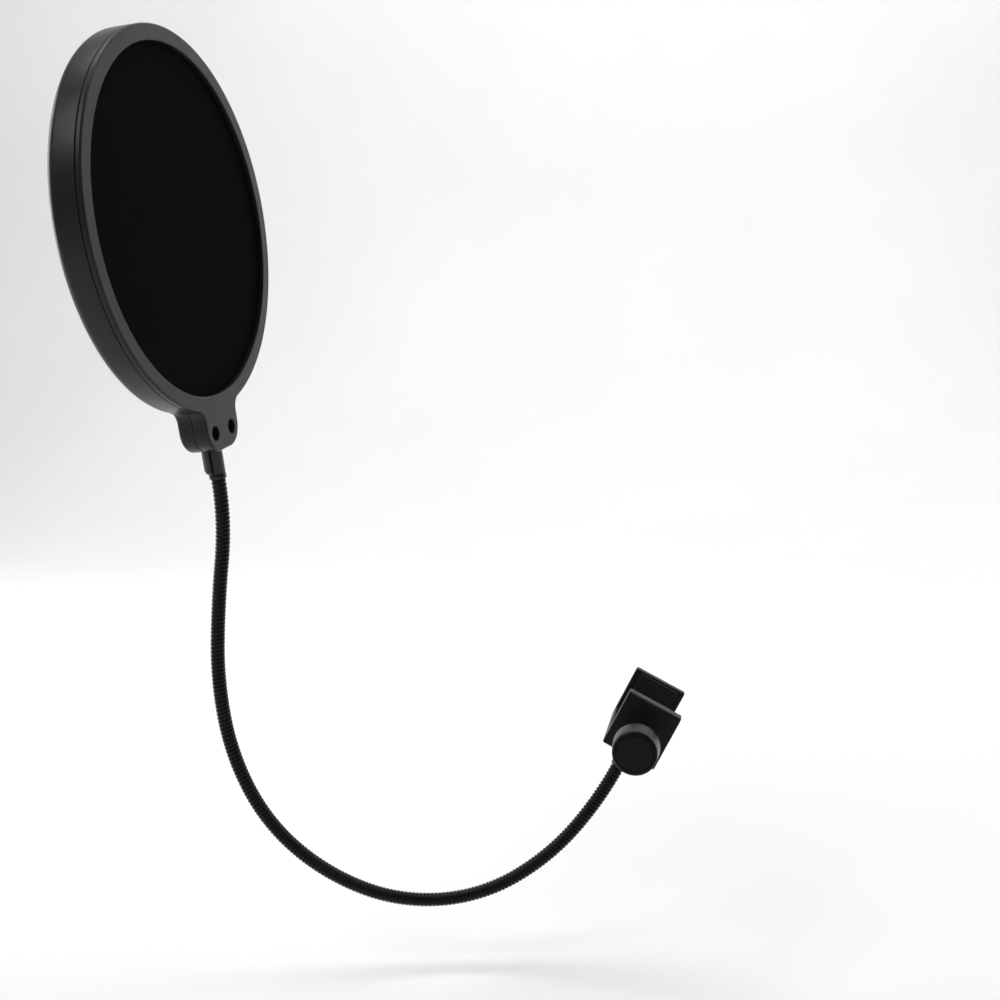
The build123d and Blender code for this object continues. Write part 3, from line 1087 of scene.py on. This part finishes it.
class Screen(Assembly):
    """Hoops, mesh discs, lug, screws and the upper ferrule."""

    def build(self) -> None:
        """Makes every piece of the screen."""
        self.front_hoop()
        self.rear_hoop()
        self.mesh("front_mesh", HOOP_DEPTH - FRONT_FLANGE - MESH_THICK, 3)
        self.mesh("rear_mesh", REAR_FLANGE, 8)
        self.screws()
        self.ferrule()
        self.carry("spacer_ring", "inner_plastic")

    @staticmethod
    def outline(depth: float, top: float | None = None) -> list[Point]:
        """The outline of the hoop with its lug, or of the lug alone.

        Args:
            depth: How far inside the full outline.
            top: None for the whole outline, or the radius of the arc that closes the lug.

        Returns:
            The outline, anticlockwise.
        """
        blend_x = LUG_HALF + LUG_BLEND
        centre = HOOP_R + LUG_BLEND
        blend_y = -math.sqrt(centre**2 - blend_x**2)
        touch = math.atan2(blend_y, blend_x)
        corner_x, corner_y = LUG_HALF - LUG_CORNER, -HOOP_R - LUG_RISE + LUG_CORNER
        corner, blend, short = LUG_CORNER - depth, LUG_BLEND + depth, 0.0
        if top is not None and centre - blend < top:
            short = math.acos((centre**2 + blend**2 - top**2) / (2 * centre * blend))

        def arc(x: float, y: float, radius: float, first: float, last: float, count: int) -> list[Point]:
            turns = np.linspace(first, last, count + 1)
            return [(x + radius * math.cos(t), y + radius * math.sin(t)) for t in turns]

        right = arc(blend_x, blend_y, blend, math.pi, math.pi + touch + short, 12)
        left = [(-x, y) for x, y in right[::-1]]
        if top is None:
            over = arc(0, 0, HOOP_R - depth, touch, math.pi - touch, 320)[1:-1]
        else:
            reach = math.atan2(right[-1][1], right[-1][0])
            over = arc(0, 0, top, reach, -math.pi - reach, 24)
            over = over[1:-1] if short else over
        return [
            *over,
            *left,
            *arc(-corner_x, corner_y, corner, math.pi, 1.5 * math.pi, 16),
            *arc(corner_x, corner_y, corner, -math.pi / 2, 0, 16),
            *right,
        ]

    def front_hoop(self) -> None:
        """Front rim and lug with its recesses, the lug's front half behind it, and the nesting collar."""
        head, back = self.layout.head, HOOP_DEPTH - FRONT_FLANGE
        places = [(x, -HOOP_R - SCREW_DROP) for x in (-SCREW_X, SCREW_X)]
        recesses = [circle(x, y, RECESS_R, 32) for x, y in places]
        rim = Shape(head).slab(
            self.outline,
            edge_layers(back, HOOP_DEPTH, 0.2, RIM_ROUND),
            (Recess(circle(0, 0, OPENING_R, 256), None, 0.5), *(Recess(r, None, 0.25) for r in recesses)),
        )
        lug = Shape(head).slab(
            lambda depth: self.outline(depth, HOOP_R - LUG_ROOT),
            edge_layers(SPLIT + LUG_GAP, back, 0.3, 0.0)[:7] + [(0.0, back)],
            tuple(Recess(r, SPLIT + SCREW_SEAT, 0.0) for r in recesses),
        )
        edge, inner = back - NEST_DEPTH, NEST_R - NEST_WALL
        nest = [(NEST_R, back), (NEST_R, edge + 0.2), (NEST_R - 0.25, edge), (inner, edge), (inner, back)]
        collar = Shape(head).turn(nest, 192)
        plastic = self.materials["hoop_plastic"]
        piece = merge(
            rim.build("screen_front_hoop", plastic),
            lug.build("lug", plastic),
            collar.build("collar", plastic),
        )
        self.keep(piece, "head", "hoop_plastic", "front_hoop")

    def rear_hoop(self) -> None:
        """Band and rear flange, the lug's rear half, and the half-sleeve behind the ferrule."""
        head, front = self.layout.head, HOOP_DEPTH - FRONT_FLANGE - SEAM
        section = rounded(
            [
                (HOOP_R, 0, REAR_ROUND),
                (HOOP_R, front, 0.3),
                (HOOP_R - HOOP_WALL, front, 0.3),
                (HOOP_R - HOOP_WALL, REAR_FLANGE, 0.4),
                (OPENING_R, REAR_FLANGE, 0.4),
                (OPENING_R, 0, 0.5),
            ],
            9,
        )
        band = Shape(head).turn(section, 320)
        lug = Shape(head).slab(
            lambda depth: self.outline(depth, HOOP_R - LUG_ROOT),
            edge_layers(LUG_BACK, SPLIT - LUG_GAP, 1.4, 0.3),
        )
        sleeve = Shape(head)
        foot = -HOOP_R - LUG_RISE
        end = foot - SLEEVE_LENGTH
        bevel = ((foot + 2, 0.0), (foot, 0.0), (end + 1.5, 0.0), (end + 0.4, 0.5), (end, 0.9))
        turns = np.linspace(math.pi, 2 * math.pi, 29)
        loops = []
        for y, depth in bevel:
            outer = SLEEVE_R - depth
            ring = [(outer * math.cos(t), y, SPLIT + outer * math.sin(t)) for t in turns]
            ring += [(SLEEVE_BORE * math.cos(t), y, SPLIT + SLEEVE_BORE * math.sin(t)) for t in turns[::-1]]
            loops.append(ring)
        sleeve.loft(loops)
        plastic = self.materials["hoop_plastic"]
        piece = merge(
            band.build("screen_rear_hoop", plastic),
            lug.build("lug", plastic),
            sleeve.build("sleeve", plastic),
        )
        self.keep(piece, "head", "hoop_plastic", "rear_hoop")

    def mesh(self, name: str, back: float, seed: int) -> None:
        """A disc of woven nylon pulled tight, with the faint waves that the pull leaves.

        Args:
            name: The CAD node that it stands for.
            back: Height of its back face above the screen's, in millimetres.
            seed: Which waves.
        """
        rng = np.random.default_rng(seed)
        waves = [
            (rng.integers(2, 9), rng.uniform(0, 2 * math.pi), rng.uniform(0.01, 0.035)) for _ in range(6)
        ]
        shape = Shape(self.layout.head)

        def ring(radius: float, height: float) -> list[tuple[float, float, float]]:
            points = []
            for x, y in circle(0, 0, radius, 144):
                turn, share = math.atan2(y, x), radius / MESH_R
                wave = sum(a * math.sin(n * turn + p) for n, p, a in waves)
                points.append((x, y, height + wave * share**2 * (1 - share) * 3.0))
            return points

        radii = [1.5, *np.linspace(6, MESH_R, 24)]
        low = [ring(r, back + 0.03) for r in radii]
        high = [ring(r, back + MESH_THICK - 0.03) for r in radii[::-1]]
        shape.loft([*low, *high])
        piece = shape.build(f"screen_{name}", self.materials["nylon_mesh"])
        head = self.layout.head
        flat = piece.data.uv_layers.new(name="Flat")
        places = np.array([v.co for v in piece.data.vertices], float) - np.array(head.origin, float)
        plane = places @ np.array([head.x, head.y], float).T / MM
        corners = np.array([loop.vertex_index for loop in piece.data.loops])
        flat.data.foreach_set("uv", plane[corners].ravel())
        self.keep(piece, "head", "nylon_mesh", name)

    def screws(self) -> None:
        """The two recessed screws, one made and set out twice."""
        head = self.layout.head
        seat = SPLIT + SCREW_SEAT
        at_zero = Local(Vector(), head.x, head.y)
        wide = SCREW_HEAD_R
        profile = [(1.45, -8.0), (1.45, 0.0), (wide - 0.05, 0.0), (wide, 0.1), (wide, 1.2)]
        profile += [(wide * math.cos(t), 1.2 + 0.75 * math.sin(t)) for t in np.linspace(0.15, 1.35, 8)]
        one = Shape(at_zero).turn(profile, 48, False).build("screw", self.materials["zinc_steel"])
        for x, y in ((1.6, 0.4), (0.4, 1.6)):
            slot = [(-x, -y), (x, -y), (x, y), (-x, y)]
            tool = Shape(at_zero).slab(slot, [(0.0, 0.9), (0.0, 2.4)])
            cut(one, tool.build("slot", self.materials["zinc_steel"]))
        spots = head.points(np.array([(x, -HOOP_R - SCREW_DROP, seat) for x in (-SCREW_X, SCREW_X)]))
        mesh = bpy.data.meshes.new("screen_lug_screws")
        mesh.from_pydata(spots.tolist(), [], [])
        piece = bpy.data.objects.new("screen_lug_screws", mesh)
        bpy.context.scene.collection.objects.link(piece)
        apply_tree(piece, scatter_tree(), Piece=one, Material=self.materials["zinc_steel"])
        piece.data.set_sharp_from_angle(angle=math.radians(35))
        bpy.data.objects.remove(one)
        self.keep(piece, "head", "zinc_steel", "lug_screws")

    def ferrule(self) -> None:
        """The glossy tube that carries the screen, with a rolled mouth and a crimp."""
        up = self.layout.head.y
        side = self.layout.normal
        local = Local(self.layout.tip, side, up.cross(side))
        profile = ferrule_mouth(4.0)
        profile += [(FERRULE_R, 24.0), (COLLAR_R, 24.0), (COLLAR_R, 26.0), (FERRULE_R, 26.0)]
        profile += [(FERRULE_R, 27.3), (FERRULE_R - 0.2, 27.5), (1.0, 27.5), (1.0, 4.0)]
        piece = Shape(local).turn(profile, 64).build("screen_ferrule", self.materials["ferrule_black"])
        self.keep(piece, "head", "ferrule_black", "upper_ferrule")


class Gooseneck(Assembly):
    """The wound neck, cut at the middle of each link, so that each joint falls inside one length."""

    PITCH = 1.85
    DEPTH = 0.52

    def build(self) -> None:
        """Makes the eleven lengths of the neck."""
        layout, tree = self.layout, ridge_tree()
        bodies = ["clamp", *(f"neck_{i:02d}" for i in range(2, 10)), "head"]
        spare = NECK_INSERT * MM * 0.95 / layout.link
        cuts = [-spare, *(i + 0.5 for i in range(10)), 10 + spare]
        for i, (start, end) in enumerate(zip(cuts, cuts[1:])):
            points = layout.neck_path(start, end, self.PITCH * MM / 9)
            piece = path_object(f"neck_{i:02d}", points, (start + spare) * layout.link)
            apply_tree(
                piece,
                tree,
                Radius=NECK_R * MM,
                Pitch=self.PITCH * MM,
                Depth=self.DEPTH * MM,
                Crest=2.4,
                Turn=Side.RIGHT.value,
                Plane_Normal=tuple(layout.normal),
                Segments=36,
                Material=self.materials["neck_black"],
            )
            link = min(i + 1, 10)
            nodes = (f"neck_wrap_{link:02d}", f"neck_core_{link:02d}")
            if i in (0, 10):
                self.keep(piece, bodies[0 if i == 0 else 9], "neck_black", *nodes)
                continue
            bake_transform(piece)
            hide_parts(*nodes)
            self.made.append(piece.name)
            LOG.info("%s: %d faces, %s to %s", piece.name, len(piece.data.polygons), *bodies[i - 1 : i + 1])


class Clamp(Assembly):
    """Clamp body, fixed rubber, threaded nut and lower ferrule."""

    @property
    def side(self) -> Local:
        """Axes in the clamp's side view: x to the knob, y up, z across."""
        return Local(Vector(), Vector((0, -1, 0)), self.layout.up)

    @property
    def axial(self) -> Local:
        """Axes along the clamp screw: z to the knob."""
        return Local(Vector(), self.layout.up.cross(Vector((0, -1, 0))), self.layout.up)

    def build(self) -> None:
        """Makes every piece of the clamp."""
        self.body()
        self.pad()
        self.nut()
        self.ferrule()
        self.carry("neck_set_screw", "zinc_steel")

    def body(self) -> None:
        """The C-shaped body with its bored front jaw."""
        outline = rounded(
            [
                (REAR_OUT, -AXIS_RISE, 3.0),
                (FRONT_OUT, -AXIS_RISE, 1.4),
                (FRONT_OUT, 16.0, 1.4),
                (JAW_OPENING, 16.0, 0.8),
                (JAW_OPENING, 5.0 - AXIS_RISE, 1.5),
                (-1.0, 5.0 - AXIS_RISE, 1.5),
                (-1.0, 16.0, 0.8),
                (REAR_OUT, 16.0, 1.4),
            ],
            8,
        )
        piece = Shape(self.side).slab(outline, edge_layers(-13.0, 13.0, 0.7, 0.7))
        body = piece.build("clamp_body", self.materials["clamp_plastic"])
        for start, end, radius in ((36.5, 46.0, 4.5), (36.5, 38.0, 5.6)):
            tool = Shape(self.axial).turn([(radius, start), (radius, end)], 64, False)
            cut(body, tool.build("bore", self.materials["clamp_plastic"]))
        hole_at = self.side.points(np.array([((FRONT_OUT + REAR_OUT) / 2, -8.5, 0.0)]))[0]
        across = Local(Vector(hole_at), Vector((0, 1, 0)), self.layout.up)
        sign = 1 if across.z.x > 0 else -1
        tool = Shape(across).turn([(1.5, 3.0 * sign), (1.5, 14.0 * sign)], 32, False)
        cut(body, tool.build("hole", self.materials["clamp_plastic"]))
        self.keep(body, "clamp", "clamp_plastic", "clamp_frame")

    def pad(self) -> None:
        """Ribbed rubber on the fixed jaw."""
        outline: list[tuple[float, float, float]] = [(-2.5, -5.0, 0.3), (0.0, -5.0, 0.3)]
        for k in range(9):
            low = -3.6 + 2.1 * k
            outline += [(0.0, low, 0.15), (-0.5, low + 0.15, 0.1)]
            outline += [(-0.5, low + 0.75, 0.1), (0.0, low + 0.9, 0.15)]
        outline += [(0.0, 15.0, 0.3), (-2.5, 15.0, 0.3)]
        piece = Shape(self.side).slab(rounded(outline, 3), edge_layers(-10.0, 10.0, 0.3, 0.3))
        self.keep(piece.build("clamp_jaw_pad", self.materials["rubber"]), "clamp", "rubber", "jaw_pad")

    def nut(self) -> None:
        """Threaded brass in the front jaw."""
        profile = [(3.0, 37.5), (3.3, 37.2), (5.4, 37.2), (5.6, 37.4), (5.6, 37.98), (4.48, 38.0)]
        profile += [(4.48, 44.7), (4.2, 45.0), (3.3, 45.0), (3.0, 44.7)]
        piece = Shape(self.axial).turn(profile, 64).build("clamp_nut", self.materials["brass"])
        self.keep(piece, "clamp", "brass", "thread_insert")

    def ferrule(self) -> None:
        """The glossy tube that the neck comes out of, with spanner flats at the clamp."""
        up = self.layout.up
        local = Local(self.layout.root, self.layout.normal, up.cross(self.layout.normal))
        end, spigot_end = FERRULE_LENGTH + 0.2, FERRULE_LENGTH + 4.0
        profile = ferrule_mouth(5.0)
        profile += [(FERRULE_R, end), (SPIGOT_R, end), (SPIGOT_R, spigot_end), (1.0, spigot_end), (1.0, 5.0)]
        tube = Shape(local).turn(profile, 64).build("clamp_ferrule", self.materials["ferrule_black"])
        flats = Shape(Local(self.layout.root, self.side.z, up.cross(self.side.z))).slab(
            rounded([(x, y, 0.25) for x, y in circle(0, 0, HEX_R, 6)], 4),
            edge_layers(FERRULE_LENGTH - HEX_LENGTH, FERRULE_LENGTH, 0.35, 0.1),
        )
        piece = merge(tube, flats.build("flats", self.materials["ferrule_black"]))
        self.keep(piece, "clamp", "ferrule_black", "lower_ferrule")


class ClampScrew(Clamp):
    """The knob, its cap, the threaded rod, and the cup and rubber on the rod's end."""

    def build(self) -> None:
        """Makes every piece that moves along the clamp."""
        self.rod()
        self.knob()
        self.cap()
        self.cup()
        self.rubber()
        self.carry("retaining_clip", "zinc_steel")

    def rod(self) -> None:
        """Right-hand thread of 1 mm pitch, and the plain end that turns in the cup."""
        points = [self.axial.origin + self.axial.z * u * MM for u in np.arange(22.8, 70.7, 0.1)]
        thread = path_object("screw_rod", points, 0.0)
        apply_tree(
            thread,
            ridge_tree(),
            Radius=2.95 * MM,
            Pitch=1.0 * MM,
            Depth=0.52 * MM,
            Crest=1.0,
            Turn=Side.RIGHT.value,
            Plane_Normal=tuple(self.layout.up),
            Segments=40,
            Material=self.materials["screw_steel"],
        )
        plain, groove = 2.25, 1.8
        profile = [(2.0, 19.1), (plain, 19.35), (plain, 20.4), (groove, 20.4)]
        profile += [(groove, 21.1), (plain, 21.1), (plain, 22.85)]
        journal = Shape(self.axial).turn(profile, 48, False).build("journal", self.materials["screw_steel"])
        self.keep(merge(thread, journal), "screw", "screw_steel", "clamp_screw")

    def knob(self) -> None:
        """A plain tapered knob with rounded edges and a recess for its cap."""
        section = rounded(
            [
                (2.98, 61.0, 0.2),
                (6.2, 61.0, 0.3),
                (6.6, 61.6, 0.3),
                (8.6, 61.6, 0.3),
                (9.0, 61.0, 0.3),
                (10.5, 61.0, 1.1),
                (9.75, 73.0, 1.4),
                (8.25, 73.0, 0.15),
                (8.25, 71.8, 0.1),
                (2.98, 71.8, 0.1),
            ],
            8,
        )
        piece = Shape(self.axial).turn(section, 128).build("screw_knob", self.materials["knob_plastic"])
        self.keep(piece, "screw", "knob_plastic", "knob")

    def cap(self) -> None:
        """The knob's snap-in cap, very slightly dished."""
        profile = [(8.15, 71.8), (8.15, 72.65), (8.1, 72.8), (7.95, 72.9), (7.7, 72.93)]
        profile += [(r, 72.93 - 0.12 * (1 - (r / 7.7) ** 2)) for r in (6.5, 5.0, 3.5, 2.0, 0.7)]
        shape = Shape(self.axial).turn(profile, 96, False)
        piece = shape.build("screw_knob_cap", self.materials["knob_plastic"])
        self.keep(piece, "screw", "knob_plastic", "knob_cap")

    def cup(self) -> None:
        """The swivel cup that presses without turning."""
        section = rounded(
            [
                (2.3, 22.5, 0.15),
                (4.2, 22.5, 0.3),
                (5.4, 21.3, 0.5),
                (5.4, 17.5, 0.3),
                (1.2, 17.5, 0.0),
                (1.2, 18.9, 0.0),
                (2.3, 18.9, 0.0),
            ],
            6,
        )
        piece = Shape(self.axial).turn(section, 72).build("press_cup", self.materials["zinc_steel"])
        self.keep(piece, "press", "zinc_steel", "pressure_cup")

    def rubber(self) -> None:
        """Rubber face of the cup, with ring grooves."""
        profile = [(5.0, 17.48), (5.0, 16.3), (4.7, 16.0)]
        for r in (4.1, 2.9, 1.7):
            profile += [(r, 16.0), (r - 0.15, 16.4), (r - 0.55, 16.4), (r - 0.7, 16.0)]
        piece = Shape(self.axial).turn(profile, 72, False).build("press_pad", self.materials["rubber"])
        self.keep(piece, "press", "rubber", "pressure_pad")


# ------------------------------------------------------------------ studio
@dataclass(frozen=True)
class Softbox:
    """A rectangular light.

    Attributes:
        name: Its name.
        place: Where it stands, in metres.
        aim: What it points at.
        size: Width and height, in metres.
        power: Watts.
    """

    name: str
    place: tuple[float, float, float]
    aim: tuple[float, float, float]
    size: tuple[float, float]
    power: float


class Studio:
    """Camera, soft lights and a plain pale floor that curves up behind."""

    EYE = Vector((0.03473, -0.57597, 0.15392))
    AZIMUTH = -10.493
    PITCH = 5.122
    LENS = 43.2
    LIGHTS = (
        Softbox("key", (-1.0, -1.2, 1.5), (-0.12, 0.0, 0.1), (0.7, 0.7), 8.0),
        Softbox("side", (-1.5, 0.2, 0.5), (-0.15, 0.0, 0.15), (0.35, 1.0), 8.0),
        Softbox("right", (1.3, 0.9, 0.8), (-0.15, 0.0, 0.2), (0.9, 1.2), 3.5),
        Softbox("backdrop", (0.0, 0.3, 2.6), (0.0, 1.9, 0.6), (3.0, 1.2), 48.0),
    )

    def build(self) -> None:
        """Sets the stage."""
        self.camera()
        self.floor()
        self.lights()

    def camera(self) -> None:
        """The camera."""
        data = bpy.data.cameras.new("camera")
        data.lens, data.sensor_width = self.LENS, 36.0
        data.clip_start, data.clip_end = 0.02, 50.0
        made = bpy.data.objects.new("camera", data)
        bpy.context.scene.collection.objects.link(made)
        turn, tip = math.radians(self.AZIMUTH), math.radians(self.PITCH)
        ahead = Vector((math.sin(turn) * math.cos(tip), math.cos(turn) * math.cos(tip), -math.sin(tip)))
        made.location = self.EYE
        made.rotation_mode = "QUATERNION"
        made.rotation_quaternion = ahead.to_track_quat("-Z", "Y")
        bpy.context.scene.camera = made

    def floor(self) -> None:
        """A sweep of pale paper."""
        low = START_BOUNDS[0].z - 0.03
        line = [(-3.0, low), (1.2, low)]
        turns = np.linspace(0.1, math.pi / 2, 16)
        line += [(1.2 + 0.8 * math.sin(t), low + 0.8 * (1 - math.cos(t))) for t in turns]
        line.append((2.0, low + 3.5))
        points = [(x, y, z) for y, z in line for x in (-5.0, 5.0)]
        faces = [(2 * i, 2 * i + 1, 2 * i + 3, 2 * i + 2) for i in range(len(line) - 1)]
        mesh = bpy.data.meshes.new("floor")
        mesh.from_pydata(points, [], faces)
        material = bpy.data.materials.new("paper")
        material.use_nodes = True
        material.node_tree.nodes.clear()
        tree = Tree(material.node_tree)
        place = tree.add("ShaderNodeTexCoord").outputs["Object"]
        cloud = tree.add("ShaderNodeTexNoise", {"Vector": place, "Scale": 3.0, "Detail": 4.0})
        ramp = tree.add("ShaderNodeMapRange", {0: cloud.outputs[0], 1: 0.3, 2: 0.7, 3: 0.9, 4: 0.93})
        skin = tree.add("ShaderNodeBsdfPrincipled", {"Base Color": ramp.outputs[0], "Roughness": 0.8})
        tree.add("ShaderNodeOutputMaterial", {0: skin.outputs[0]})
        mesh.materials.append(material)
        finish_mesh(mesh, "floor")

    def lights(self) -> None:
        """The lights and the room's own brightness."""
        for box in self.LIGHTS:
            data = bpy.data.lights.new(box.name, "AREA")
            data.shape, data.size, data.size_y, data.energy = "RECTANGLE", *box.size, box.power
            made = bpy.data.objects.new(box.name, data)
            made.location = box.place
            away = Vector(box.aim) - Vector(box.place)
            made.rotation_mode = "QUATERNION"
            made.rotation_quaternion = away.to_track_quat("-Z", "Y")
            bpy.context.scene.collection.objects.link(made)
        world = bpy.data.worlds.new("room")
        world.use_nodes = True
        world.node_tree.nodes["Background"].inputs[0].default_value = (1.0, 1.0, 1.0, 1.0)
        world.node_tree.nodes["Background"].inputs[1].default_value = 0.30
        bpy.context.scene.world = world
        bpy.context.scene.view_settings.view_transform = "Standard"


def main() -> None:
    """Builds the object and its stage."""
    logging.basicConfig(level=logging.INFO, format="%(name)s %(message)s")
    layout, materials = Layout.measure(), Materials()
    for kind in (Screen, Gooseneck, Clamp, ClampScrew):
        assembly = kind(layout, materials)
        assembly.build()
        LOG.info("%s: %d pieces", kind.__name__, len(assembly.made))
    Studio().build()


if __name__ == "__main__":
    main()
